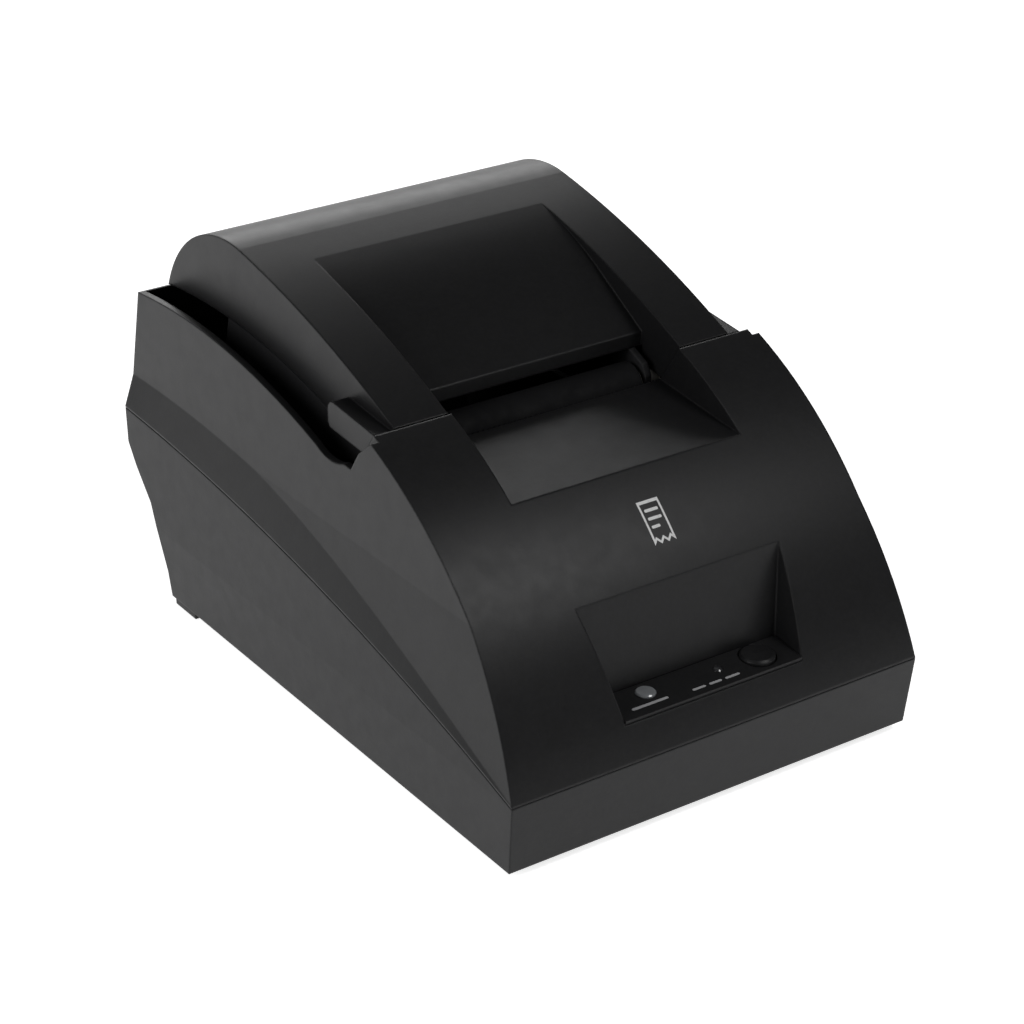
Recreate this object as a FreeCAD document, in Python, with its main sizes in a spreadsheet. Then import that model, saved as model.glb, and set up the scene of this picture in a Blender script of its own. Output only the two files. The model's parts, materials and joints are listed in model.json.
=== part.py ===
import FreeCAD, Part
import math
import os
import types
import Sketcher

# Compact clamshell receipt printer for 58 mm paper.
# Frame: +X to the right seen from the front, +Y to the back, +Z up, millimetres.
# The origin is under the centre of the whole body, at the level the feet stand on.

DIMENSIONS = {
    # whole body
    "foot_rise": 2.5,
    "wall": 2.2,
    "fit_gap": 0.3,
    # outline of the housing seen from the side
    "front_y": -87.9,
    "front_foot_y": -85.9,
    "strip_top": 20.5,
    "seam_y": -26.4,
    "seam_top": 84.9,
    "front_bow": 104.0,
    "seam_low_y": -19.4,
    "seam_low": 74.3,
    "rear_top_y": 82.2,
    "rear_top": 82.9,
    "rear_wide_y": 87.9,
    "rear_wide": 58.4,
    "rear_band_y": 87.9,
    "rear_band": 49.5,
    "rear_turn_y": 87.5,
    "rear_turn": 40.0,
    "rear_bend_y": 83.7,
    "rear_bend": 34.4,
    "rear_knee_y": 76.9,
    "rear_knee": 26.6,
    "rear_shin_y": 70.2,
    "rear_shin": 9.3,
    "rear_foot_y": 69.0,
    "parting_bow": 684.0,
    # outline seen from the front
    "base_half": 57.5,
    "strip_half": 58.25,
    "top_half": 55.4,
    "flare_top": 56.0,
    "bay_half": 53.6,
    # side band above the parting line
    "band_front": 27.5,
    "band_rear": 58.4,
    "band_bow": 430.0,
    # cheeks beside the cover
    "ledge_rear": 69.4,
    "cheek_bow": 205.0,
    "notch_rear_y": -4.0,
    "notch_rear": 74.6,
    "notch_front_y": -17.5,
    "notch_front": 75.0,
    "notch_bow": 13.9,
    "ledge_drop": 13.0,
    # cover
    "cover_half": 47.7,
    "cover_skin": 2.0,
    "cover_bow": 292.0,
    "hinge_y": 48.4,
    "hinge_z": 71.7,
    "shoulder": 34.2,
    "crown_y": 42.9,
    "crown": 105.45,
    "cover_heel_y": 80.3,
    "cover_heel": 84.0,
    "cover_side_low": 76.6,
    "cover_side_y": -5.0,
    "scoop_half": 33.3,
    "scoop_front_y": -10.6,
    "scoop_front": 83.6,
    "scoop_mid_y": 8.5,
    "scoop_mid": 94.4,
    "scoop_back_y": 34.0,
    "scoop_back": 103.9,
    "scoop_bow": 107.0,
    "tab_reach": 52.3,
    "tab_top": 84.0,
    "tab_back": 85.5,
    "tab_low": 77.6,
    "tab_back_y": -4.6,
    # receipt ramp in the housing
    "ramp_half": 32.6,
    "ramp_front_y": -50.4,
    "ramp_front": 71.5,
    # window of the control panel
    "window_top_half": 29.0,
    "window_low_half": 25.5,
    "window_top": 53.0,
    "window_top_y": -70.2,
    "window_floor": 30.1,
    "window_back": 31.2,
    "window_back_y": -74.6,
    "panel_thick": 1.2,
    "pocket_floor": 0.7,
    "button_x": 16.5,
    "button_y": -79.2,
    "button_radius": 4.3,
    "button_flange": 5.1,
    "button_rise": 0.9,
    "power_x": -14.8,
    "error_x": 5.2,
    "power_y": -77.9,
    "error_y": -78.8,
    # platen and print head
    "platen_y": -12.7,
    "platen_z": 71.9,
    "platen_radius": 5.5,
    "platen_half": 28.6,
    "shaft_radius": 1.5,
    "bush_radius": 3.0,
    "bush_gap": 0.05,
    "head_face_y": -18.5,
    "ceramic_thick": 1.5,
    "sink_thick": 4.0,
    "sink_top": 71.5,
    "head_half": 27.0,
    "head_low": 62.5,
    "head_top": 72.4,
    "head_pivot_y": -22.2,
    "head_pivot_z": 64.2,
    # gear train
    "gear_module": 0.6,
    "platen_teeth": 24.0,
    "idler_teeth": 26.0,
    "pinion_teeth": 12.0,
    "gear_low_x": 37.2,
    "gear_width": 3.2,
    "motor_radius": 10.0,
    # mechanism frame
    "frame_half": 33.0,
    "frame_wall": 2.0,
    "frame_low": 39.5,
    "frame_top": 75.6,
    "frame_front_y": -35.0,
    "frame_back_y": -2.5,
    # paper bucket
    "roll_y": 41.0,
    "roll_z": 56.0,
    "bucket_radius": 26.0,
    "bucket_half": 30.0,
    "bucket_wall": 2.0,
    # boards and ports
    "board_low": 9.0,
    "board_thick": 1.6,
    "bay_wall_y": 66.0,
    "bay_port_half": 46.0,
    "bay_port_low": 5.2,
    "bay_port_top": 31.0,
    "usb_x": -2.0,
    "jack_x": -20.0,
    "drawer_x": 15.0,
    "rocker_x": 35.0,
    "rocker_z": 18.0,
    "rocker_half": 6.0,
    "rocker_tall": 8.4,
    "rocker_tilt": 11.7,
    # feet and screws
    "foot_x": 48.0,
    "foot_front_y": -72.0,
    "foot_rear_y": 50.0,
    "foot_radius": 6.0,
    "post_x": 51.0,
    "post_front_y": -60.0,
    "post_front_top": 60.0,
    "post_rear_top": 67.9,
    "post_rear_y": 36.0,
    "post_radius": 2.7,
    "screw_radius": 1.25,
    "screw_head": 2.3,
    "pin_radius": 2.0,
}

doc = FreeCAD.newDocument("receipt_printer")
sheet = doc.addObject("Spreadsheet::Sheet", "dims")
for row, (alias, number) in enumerate(DIMENSIONS.items(), start=1):
    sheet.set(f"A{row}", alias)
    sheet.set(f"B{row}", str(number))
    sheet.setAlias(f"B{row}", alias)
doc.recompute()

NODES = {}


class Size:
    """A length that carries both its number and the sheet expression that gives it."""

    def __init__(self, value, text):
        self.value = value
        self.text = text

    @staticmethod
    def of(other):
        return other if isinstance(other, Size) else Size(float(other), repr(float(other)))

    def __add__(self, other):
        other = Size.of(other)
        return Size(self.value + other.value, f"({self.text} + {other.text})")

    def __sub__(self, other):
        other = Size.of(other)
        return Size(self.value - other.value, f"({self.text} - {other.text})")

    def __mul__(self, other):
        other = Size.of(other)
        return Size(self.value * other.value, f"({self.text} * {other.text})")

    def __truediv__(self, other):
        other = Size.of(other)
        return Size(self.value / other.value, f"({self.text} / {other.text})")

    def __neg__(self):
        return Size(-self.value, f"(-1 * {self.text})")

    def __radd__(self, other):
        return Size.of(other) + self

    def __rsub__(self, other):
        return Size.of(other) - self

    def __rmul__(self, other):
        return Size.of(other) * self


S = types.SimpleNamespace(**{k: Size(v, f"dims.{k}") for k, v in DIMENSIONS.items()})

# How each view lies in space: its sketch axes run along the first two letters, its depth along the third.
VIEWS = {
    "side": (FreeCAD.Rotation(FreeCAD.Vector(1, 1, 1), 120), "x", FreeCAD.Vector(1, 0, 0)),
    "front": (FreeCAD.Rotation(FreeCAD.Vector(1, 0, 0), 90), "y", FreeCAD.Vector(0, 1, 0)),
    "plan": (FreeCAD.Rotation(), "z", FreeCAD.Vector(0, 0, 1)),
}


def bind(obj, **sizes):
    """Sets properties from sizes and ties them to the sheet."""
    for name, size in sizes.items():
        size = Size.of(size)
        setattr(obj, name, size.value)
        obj.setExpression(name, size.text)


def place(obj, x=0, y=0, z=0, rotation=None):
    """Puts an object at a point given by sizes, with an optional turn."""
    at = [Size.of(v) for v in (x, y, z)]
    turn = rotation or FreeCAD.Rotation()
    obj.Placement = FreeCAD.Placement(FreeCAD.Vector(*[v.value for v in at]), turn)
    for axis, size in zip("xyz", at):
        obj.setExpression(f"Placement.Base.{axis}", size.text)
    return obj


def arc_through(start, end, radius):
    """Minor arc between two points; a positive radius swells to the right of the run."""
    chord = end - start
    half = chord.Length / 2
    rise = math.sqrt(radius * radius - half * half)
    left = FreeCAD.Vector(-chord.y, chord.x, 0).normalize()
    centre = (start + end) / 2 + left * math.copysign(rise, radius)
    first, last = (start, end) if radius > 0 else (end, start)
    angles = [math.atan2((p - centre).y, (p - centre).x) for p in (first, last)]
    circle = Part.Circle(centre, FreeCAD.Vector(0, 0, 1), abs(radius))
    return Part.ArcOfCircle(circle, angles[0], angles[1])


def outline(sketch, corners, bows=None):
    """Closed outline through corners of two sizes each; bows maps a corner's index to the radius
    of the arc that leaves it, positive where the arc swells to the right of the run."""
    bows = bows or {}
    corners = [(Size.of(a), Size.of(b)) for a, b in corners]
    points = [FreeCAD.Vector(a.value, b.value, 0) for a, b in corners]
    count = len(points)
    first = sketch.GeometryCount
    for i in range(count):
        start, end = points[i], points[(i + 1) % count]
        if i in bows:
            sketch.addGeometry(arc_through(start, end, bows[i].value), False)
        else:
            sketch.addGeometry(Part.LineSegment(start, end), False)
    ends = [(2, 1) if i in bows and bows[i].value < 0 else (1, 2) for i in range(count)]
    for i in range(count):
        after = (i + 1) % count
        join = Sketcher.Constraint("Coincident", first + i, ends[i][1], first + after, ends[after][0])
        sketch.addConstraint(join)
    for i, (across, up) in enumerate(corners):
        for kind, size in (("DistanceX", across), ("DistanceY", up)):
            rule = Sketcher.Constraint(kind, -1, 1, first + i, ends[i][0], size.value)
            number = sketch.addConstraint(rule)
            sketch.setExpression(f"Constraints[{number}]", size.text)
    for i, radius in bows.items():
        rule = Sketcher.Constraint("Radius", first + i, abs(radius.value))
        number = sketch.addConstraint(rule)
        sketch.setExpression(f"Constraints[{number}]", radius.text if radius.value > 0 else (-radius).text)


def ring(sketch, x, y, radius):
    """Circle in a sketch, centred and sized from the sheet."""
    x, y, radius = Size.of(x), Size.of(y), Size.of(radius)
    centre = FreeCAD.Vector(x.value, y.value, 0)
    geometry = sketch.addGeometry(Part.Circle(centre, FreeCAD.Vector(0, 0, 1), radius.value), False)
    for kind, size in (("DistanceX", x), ("DistanceY", y)):
        number = sketch.addConstraint(Sketcher.Constraint(kind, -1, 1, geometry, 3, size.value))
        sketch.setExpression(f"Constraints[{number}]", size.text)
    number = sketch.addConstraint(Sketcher.Constraint("Radius", geometry, radius.value))
    sketch.setExpression(f"Constraints[{number}]", radius.text)


def drawn(name, view, depth, corners, bows=None):
    """Free sketch of an outline in one view, at a depth along that view's third axis."""
    turn, axis, _ = VIEWS[view]
    sketch = doc.addObject("Sketcher::SketchObject", name + "_outline")
    place(sketch, rotation=turn, **{axis: depth})
    outline(sketch, corners, bows)
    return sketch


def prism(name, view, low, high, corners, bows=None):
    """Solid of constant section: an outline in one view, run from low to high along the third axis."""
    low, high = Size.of(low), Size.of(high)
    solid = doc.addObject("Part::Extrusion", name)
    solid.Base = drawn(name, view, low, corners, bows)
    solid.DirMode = "Custom"
    solid.Dir = VIEWS[view][2]
    solid.Solid = True
    bind(solid, LengthFwd=high - low)
    return solid


def box(name, x, y, z):
    """Block between pairs of sizes along each axis."""
    solid = doc.addObject("Part::Box", name)
    spans = [(Size.of(a), Size.of(b)) for a, b in (x, y, z)]
    bind(solid, Length=spans[0][1] - spans[0][0], Width=spans[1][1] - spans[1][0], Height=spans[2][1] - spans[2][0])
    return place(solid, *[low for low, _ in spans])


def rod(name, axis, radius, low, high, x=0, y=0, z=0):
    """Cylinder along one axis from low to high."""
    turns = {
        "x": FreeCAD.Rotation(FreeCAD.Vector(0, 1, 0), 90),
        "y": FreeCAD.Rotation(FreeCAD.Vector(1, 0, 0), -90),
        "z": FreeCAD.Rotation(),
    }
    low, high = Size.of(low), Size.of(high)
    solid = doc.addObject("Part::Cylinder", name)
    bind(solid, Radius=radius, Height=high - low)
    at = {"x": x, "y": y, "z": z}
    at[axis] = low
    return place(solid, rotation=turns[axis], **at)


def joined(name, parts):
    """One solid from several that touch."""
    result = doc.addObject("Part::MultiFuse", name)
    result.Shapes = list(parts)
    result.Refine = True
    return result


def without(name, base, tools):
    """The base with the tools cut away one after another."""
    for i, tool in enumerate(tools):
        result = doc.addObject("Part::Cut", f"{name}_{i}")
        result.Base = base
        result.Tool = tool
        base = result
    return base


def shared(name, parts):
    """What several solids have in common."""
    result = doc.addObject("Part::MultiCommon", name)
    result.Shapes = list(parts)
    return result


def group(name, parts):
    """Separate solids that share a node."""
    result = doc.addObject("Part::Compound", name)
    result.Links = list(parts)
    return result


def node(label, obj, x=0, y=0, z=0, rotation=None):
    """Names a finished sub-part and sets its Placement."""
    obj.Label = label
    place(obj, x, y, z, rotation)
    NODES[label] = obj
    return obj


class Bench:
    """A PartDesign body with the steps that its features share."""

    def __init__(self, name):
        self.body = doc.addObject("PartDesign::Body", name)
        self.name = name
        self.count = 0

    def sketch(self, role, depth=0):
        self.count += 1
        plane = [f for f in self.body.Origin.OriginFeatures if f.Role == role][0]
        sketch = self.body.newObject("Sketcher::SketchObject", f"{self.name}_sketch{self.count}")
        sketch.AttachmentSupport = [(plane, "")]
        sketch.MapMode = "FlatFace"
        depth = Size.of(depth)
        sketch.AttachmentOffset.Base.z = depth.value
        sketch.setExpression("AttachmentOffset.Base.z", depth.text)
        return sketch

    def feature(self, kind, sketch, **sizes):
        self.count += 1
        made = self.body.newObject("PartDesign::" + kind, f"{self.name}_{kind.lower()}{self.count}")
        made.Profile = sketch
        bind(made, **sizes)
        return made

    def turned(self, corners, bows=None):
        """Revolution about the body's own Z axis of an outline in radius and height."""
        sketch = self.sketch("XZ_Plane")
        outline(sketch, corners, bows)
        made = self.feature("Revolution", sketch, Angle=360)
        made.ReferenceAxis = (sketch, ["V_Axis"])
        return made

    def pad(self, depth, height, draw):
        sketch = self.sketch("XY_Plane", depth)
        draw(sketch)
        return self.feature("Pad", sketch, Length=height)

    def pocket(self, depth, height, draw):
        """Pocket cut downwards from a plane at depth."""
        sketch = self.sketch("XY_Plane", depth)
        draw(sketch)
        return self.feature("Pocket", sketch, Length=height)

    def spread(self, original, axis, length, occurrences):
        """Repeats a feature in a row along an axis of the body."""
        line = [f for f in self.body.Origin.OriginFeatures if f.Role == axis][0]
        made = self.body.newObject("PartDesign::LinearPattern", f"{self.name}_row")
        made.Originals = [original]
        made.Direction = (line, [""])
        made.Occurrences = occurrences
        bind(made, Length=length)
        self.body.Tip = made
        return made


def rectangle(x, y):
    """Corners of a rectangle between two pairs of sizes."""
    return [(x[0], y[0]), (x[1], y[0]), (x[1], y[1]), (x[0], y[1])]


ALONG_X = FreeCAD.Rotation(FreeCAD.Vector(0, 1, 0), 90)
SIDES = (("left", -1), ("right", 1))
BOARD_HOLES = ((-36, 16), (36, 16), (-36, 58), (36, 45))
BOARD_OUTLINE = ((-41, 11), (41, 11), (41, 50), (26.5, 50), (26.5, 62.5), (-41, 62.5))
FRAME_SCREW_X = 15.0
LINER_BOSSES = (("near", 2.0, 94.0), ("far", 36.0, 102.5))


# ---------------------------------------------------------------- outer envelopes

def envelope(name, half, view_inset=0):
    """Everything inside the body's flared outline seen from the front."""
    inset = Size.of(view_inset)
    corners = [
        (-(S.base_half - inset), 0),
        (S.base_half - inset, 0),
        (S.strip_half - inset, S.strip_top),
        (half, S.flare_top),
        (half, 130),
        (-half, 130),
        (-half, S.flare_top),
        (-(S.strip_half - inset), S.strip_top),
    ]
    return prism(name, "front", -100, 100, corners)


def make_upper_case():
    """Top shell: curved front housing, two cheeks, rear wall, ramp and window pocket."""
    gap = 0.25
    skin = [
        (S.front_y, S.strip_top + gap),
        (S.rear_band_y, S.rear_band + gap),
        (S.rear_wide_y, S.rear_wide),
        (S.rear_top_y, S.rear_top),
        (S.notch_rear_y, S.notch_rear),
        (S.seam_low_y, S.seam_low),
        (S.seam_y, S.seam_top),
    ]
    bows = {0: -S.parting_bow, 3: S.cheek_bow, 6: S.front_bow}
    bands = [side_band(name, sign) for name, sign in SIDES]
    solid = shared("upper_outer", [
        prism("upper_profile", "side", -60, 60, skin, bows),
        joined("upper_flared", [envelope("upper_envelope", S.top_half)] + bands),
    ])
    bay = shared("bay", [
        prism("bay_profile", "side", -60, 60, [
            (S.seam_y, S.seam_top + 0.02),
            (S.seam_low_y, S.seam_low),
            (S.seam_low_y + 8, S.seam_low - 11.6),
            (S.seam_low_y + 8, 10),
            (S.rear_wide_y - S.wall, 10),
            (S.rear_wide_y - S.wall, S.rear_wide - 1),
            (S.hinge_y + S.shoulder + 0.35, S.hinge_z),
            (S.rear_top_y - 1.25, S.rear_top + 0.9),
            (S.rear_top_y - 1.25, 130),
            (S.seam_y, 130),
        ], {6: S.shoulder + S.fit_gap}),
        envelope("bay_envelope", S.bay_half, S.top_half - S.bay_half),
    ])
    cavity = shared("front_cavity", [
        prism("front_cavity_profile", "side", -60, 60, [
            (S.front_y + S.wall + 0.2, 10),
            (S.seam_low_y + 8.2, 10),
            (S.seam_low_y + 6.2, S.seam_low - 11.6),
            (S.seam_low_y - S.wall + 0.3, S.seam_low - 0.6),
            (S.seam_y - S.wall, S.seam_top - S.wall - 0.9),
            (S.front_y + S.wall, S.strip_top),
        ], {4: S.front_bow - S.wall}),
        envelope("front_cavity_envelope", S.top_half - S.wall, S.wall),
    ])
    ramp = prism("ramp", "side", -S.ramp_half, S.ramp_half, [
        (S.ramp_front_y, S.ramp_front),
        (S.seam_low_y, S.seam_low),
        (S.seam_low_y, S.seam_low - 12),
        (S.seam_low_y + 8, S.seam_low - 12),
        (S.seam_low_y + 8, 110),
        (S.ramp_front_y, 110),
    ])
    ramp_wall = prism("ramp_wall", "side", -(S.ramp_half + S.wall), S.ramp_half + S.wall, [
        (S.ramp_front_y - S.wall, S.ramp_front - S.wall),
        (S.seam_low_y + 0.2, S.seam_low - S.wall),
        (S.seam_low_y + 20, S.seam_low),
        (S.seam_low_y + 20, 110),
        (S.ramp_front_y - S.wall, 110),
    ])
    head_room = box("head_room", (-37.0, 37.0), (S.seam_low_y - 7, S.seam_low_y + 12), (20, S.seam_low - 1.5))
    gear_room = box("gear_room", (36.0, 44.2), (S.seam_low_y - 1.8, S.seam_low_y + 14), (20, S.seam_low + 1.9))
    window = window_pocket("window", 0)
    window_wall = window_pocket("window_wall", S.wall - 0.6)
    hollow = without("hollow", cavity, [ramp_wall, window_wall])
    notches = [finger_notch(name, sign) for name, sign in SIDES]
    shell = without("upper_shell", solid, [bay, hollow, ramp, head_room, gear_room, window] + notches)
    extras = []
    for name, sign in SIDES:
        extras.append(channel_ledge(name, sign))
        extras.append(hinge_boss(name, sign))
        for row, y, top in (("front", S.post_front_y, S.post_front_top), ("rear", S.post_rear_y, S.post_rear_top)):
            extras.append(post(f"post_{row}_{name}", sign * S.post_x, y, top))
            extras.append(box(f"post_rib_{row}_{name}", ordered(sign * S.post_x, sign * (S.top_half - 1.5)),
                              (y - 0.8, y + 0.8), (36, top)))
    whole = joined("upper_fused", [shell] + extras)
    holes = [
        rod("button_hole", "z", S.button_radius + S.fit_gap, 20, 34, S.button_x, S.button_y),
        rod("flange_room", "z", S.button_flange + S.fit_gap, 20, 27.4, S.button_x, S.button_y),
        rod("power_hole", "z", 2.6, 20, 34, S.power_x, S.power_y),
        rod("error_hole", "z", 1.4, 20, 34, S.error_x, S.error_y),
    ]
    for name, sign in SIDES:
        for row, y in (("front", S.post_front_y), ("rear", S.post_rear_y)):
            holes.append(rod(f"pilot_{row}_{name}", "z", S.screw_radius, 5, 20, sign * S.post_x, y))
    node("upper_case", without("upper_case_body", whole, holes))


def ordered(a, b):
    """A pair of sizes, lower first."""
    a, b = Size.of(a), Size.of(b)
    return (a, b) if a.value < b.value else (b, a)


def post(name, x, y, high):
    """Screw post of the top shell, down to the sockets in the tray."""
    return rod(name, "z", S.post_radius, 5.2, high, x, y)


def finger_notch(name, sign):
    """Dip in a cheek's top edge that lets a finger reach the lid's tab."""
    low, high = ordered(sign * (S.bay_half - 0.2), sign * 60.0)
    front = S.seam_y - 2.0
    return prism(f"notch_{name}", "side", low, high, [
        (S.notch_rear_y, S.notch_rear),
        (S.notch_rear_y, 100),
        (front, 100),
        (front, S.seam_top - 0.7),
        (S.notch_front_y, S.notch_front),
    ], {4: S.notch_bow})


def side_band(name, sign):
    """Slanted band along the bottom of a side, flaring out from the crease down to the parting line."""
    low = [(S.front_y, S.strip_top + 0.25), (S.rear_band_y, S.rear_band + 0.25)]
    crease = [(S.rear_wide_y, S.band_rear), (S.front_y, S.band_front)]
    rim = [(S.rear_band_y, S.rear_band + 0.6), (S.front_y, S.strip_top + 0.6)]
    tall = drawn(f"band_root_{name}", "side", sign * (S.top_half - 0.02), low + crease, {0: -S.parting_bow, 2: S.band_bow})
    thin = drawn(f"band_rim_{name}", "side", sign * S.strip_half, low + rim, {0: -S.parting_bow, 2: S.parting_bow})
    loft = doc.addObject("Part::Loft", f"band_{name}")
    loft.Sections = [tall, thin]
    loft.Solid = True
    loft.Ruled = True
    return loft


def window_pocket(name, grow):
    """Tapered pocket of the control panel, grown by a wall when its surround is wanted."""
    grow = Size.of(grow)
    front = S.front_y - 10
    sill = S.front_y + 3.4
    profile = prism(name + "_profile", "side", -32, 32, [
        (front, S.window_floor - S.panel_thick - S.pocket_floor * grow),
        (sill, S.window_floor - S.panel_thick - S.pocket_floor * grow),
        (S.window_back_y + grow, S.window_back - S.panel_thick - S.pocket_floor * grow),
        (S.window_top_y + grow, S.window_top + grow),
        (front, S.window_top + grow),
    ])
    sides = prism(name + "_sides", "front", -100, -60, [
        (-(S.window_low_half + grow), S.window_floor - 6),
        (S.window_low_half + grow, S.window_floor - 6),
        (S.window_low_half + grow, S.window_floor),
        (S.window_top_half + grow, S.window_top),
        (S.window_top_half + grow, S.window_top + 6),
        (-(S.window_top_half + grow), S.window_top + 6),
        (-(S.window_top_half + grow), S.window_top),
        (-(S.window_low_half + grow), S.window_floor),
    ])
    return shared(name, [profile, sides])


def channel_ledge(name, sign):
    """Floor and front wall of the channel between a cheek and the cover."""
    thick = 1.6
    inner, outer = sign * (S.cover_half + 0.6), sign * (S.bay_half + 0.4)
    floor = S.notch_rear - S.ledge_drop
    corners = [
        (S.seam_low_y + 7.0, floor),
        (S.notch_rear_y + 2, floor),
        (S.hinge_y - 9, S.ledge_rear),
        (S.rear_top_y + 1.6, S.ledge_rear),
        (S.rear_top_y + 1.6, S.ledge_rear - thick),
        (S.hinge_y - 9, S.ledge_rear - thick),
        (S.notch_rear_y + 2, floor - thick),
        (S.seam_low_y + 7.0, floor - thick),
    ]
    low, high = ordered(inner, outer)
    return prism(f"ledge_{name}", "side", low, high, corners)


def hinge_boss(name, sign):
    """Boss that holds the cover's hinge pin."""
    low, high = ordered(sign * (S.cover_half + 0.6), sign * (S.bay_half + 0.4))
    boss = rod(f"boss_{name}", "x", 5.5, low, high, y=S.hinge_y, z=S.hinge_z)
    bore_low, bore_high = ordered(sign * (S.cover_half - 1), sign * (S.bay_half - 0.6))
    bore = rod(f"boss_bore_{name}", "x", S.pin_radius, bore_low, bore_high, y=S.hinge_y, z=S.hinge_z)
    return without(f"boss_bored_{name}", boss, [bore])


def make_lower_case():
    """Bottom tray: front strip, side panels up to the parting line, sloping back with a port bay."""
    skin = [
        (S.front_foot_y, S.foot_rise),
        (S.rear_foot_y, S.foot_rise),
        (S.rear_shin_y, S.rear_shin),
        (S.rear_knee_y, S.rear_knee),
        (S.rear_bend_y, S.rear_bend),
        (S.rear_turn_y, S.rear_turn),
        (S.rear_band_y, S.rear_band),
        (S.front_y, S.strip_top),
    ]
    outer = shared("lower_outer", [
        prism("lower_profile", "side", -60, 60, skin, {6: S.parting_bow}),
        envelope("lower_envelope", S.strip_half),
    ])
    port_bay = box("port_bay", (-S.bay_port_half, S.bay_port_half), (S.bay_wall_y, 100), (S.bay_port_low, S.bay_port_top))
    bay_wall = box("port_bay_wall", (-(S.bay_port_half + 2), S.bay_port_half + 2), (S.bay_wall_y - 2, 100),
                   (0, S.bay_port_top + 2))
    inside = shared("lower_inside", [
        prism("lower_inside_profile", "side", -60, 60, [
            (S.front_foot_y + S.wall, S.foot_rise + S.wall),
            (S.rear_foot_y - S.wall, S.foot_rise + S.wall),
            (S.rear_shin_y - S.wall, S.rear_shin),
            (S.rear_knee_y - S.wall, S.rear_knee + 0.7),
            (S.rear_bend_y - S.wall, S.rear_bend + 1.2),
            (S.rear_turn_y - S.wall, S.rear_turn + 1.0),
            (S.rear_band_y - S.wall, S.rear_band + 20),
            (S.front_y + S.wall, S.strip_top + 20),
        ]),
        envelope("lower_inside_envelope", S.strip_half - S.wall, S.wall),
    ])
    room = without("lower_room", inside, [bay_wall])
    shell = without("lower_shell", outer, [port_bay, room])
    base = S.foot_rise + 0.5
    extras = []
    for name, sign in SIDES:
        for row, y in (("front", S.post_front_y), ("rear", S.post_rear_y)):
            extras.append(rod(f"socket_{row}_{name}", "z", S.post_radius, base, 5.0, sign * S.post_x, y))
        extras.append(box(f"heel_{name}", ordered(sign * 50.0, sign * 56.9), (58.0, S.rear_foot_y - 0.6), (0.3, base)))
        for row, y in (("near", S.frame_front_y + 6), ("far", S.frame_back_y - 5)):
            extras.append(rod(f"frame_stud_{row}_{name}", "z", 3.2, base, S.frame_low, sign * FRAME_SCREW_X, y))
        for row, y in (("near", S.roll_y - 20), ("far", S.roll_y + 14)):
            extras.append(rod(f"bucket_stud_{row}_{name}", "z", 2.6, base, 28.0, sign * 44.8, y))
    for i, (x, y) in enumerate(BOARD_HOLES):
        extras.append(rod(f"board_stud_{i}", "z", 3.0, base, S.board_low, x, y))
    whole = joined("lower_fused", [shell] + extras)
    cuts = []
    for name, sign in SIDES:
        for y in (S.foot_front_y, S.foot_rear_y):
            cuts.append(rod(f"foot_seat_{name}", "z", S.foot_radius + 0.1, S.foot_rise - 1, S.foot_rise + 0.6,
                            sign * S.foot_x, y))
        for row, y in (("front", S.post_front_y), ("rear", S.post_rear_y)):
            cuts.append(rod(f"screw_way_{row}_{name}", "z", 1.6, 0, 6, sign * S.post_x, y))
            cuts.append(rod(f"screw_seat_{row}_{name}", "z", S.screw_head + 0.3, 0, S.foot_rise + 1.4,
                            sign * S.post_x, y))
        for y in (S.frame_front_y + 6, S.frame_back_y - 5):
            cuts.append(rod(f"frame_pilot_{name}", "z", S.screw_radius, 28, 60, sign * FRAME_SCREW_X, y))
    for i, (x, y) in enumerate(BOARD_HOLES):
        cuts.append(rod(f"board_pilot_{i}", "z", S.screw_radius, 5.4, 20, x, y))
    for i in range(9):
        cuts.append(box(f"vent_{i}", (-17 + 4 * i, -15 + 4 * i), (-60, -40), (0, 6)))
    cuts += [
        box("usb_way", (S.usb_x - 6.1, S.usb_x + 6.1), (60, 70), (10.5, 21.8)),
        box("jack_way", (S.jack_x - 4.6, S.jack_x + 4.6), (60, 70), (10.5, 21.8)),
        box("drawer_way", (S.drawer_x - 6.9, S.drawer_x + 6.9), (60, 70), (10.5, 22.8)),
        box("rocker_way", (S.rocker_x - S.rocker_half - 1, S.rocker_x + S.rocker_half + 1), (60, 70),
            (S.rocker_z - S.rocker_tall - 1, S.rocker_z + S.rocker_tall + 1)),
    ]
    node("lower_case", without("lower_case_body", whole, cuts))


def make_control_panel():
    """Insert that lines the window's floor, with holes for the button and the two lights."""
    thick = S.panel_thick
    plate = prism("panel_plate", "side", -(S.window_low_half - 0.15), S.window_low_half - 0.15, [
        (S.front_y + 3.45, S.window_floor - thick),
        (S.window_back_y - 0.1, S.window_back - thick),
        (S.window_back_y - 0.1, S.window_back),
        (S.front_y + 3.0, S.window_floor),
    ])
    holes = [
        rod("panel_button_hole", "z", S.button_radius + S.fit_gap, 25, 35, S.button_x, S.button_y),
        rod("panel_power_hole", "z", 2.55, 25, 35, S.power_x, S.power_y),
        rod("panel_error_hole", "z", 1.3, 25, 35, S.error_x, S.error_y),
    ]
    node("control_panel", without("control_panel_body", plate, holes))


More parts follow.
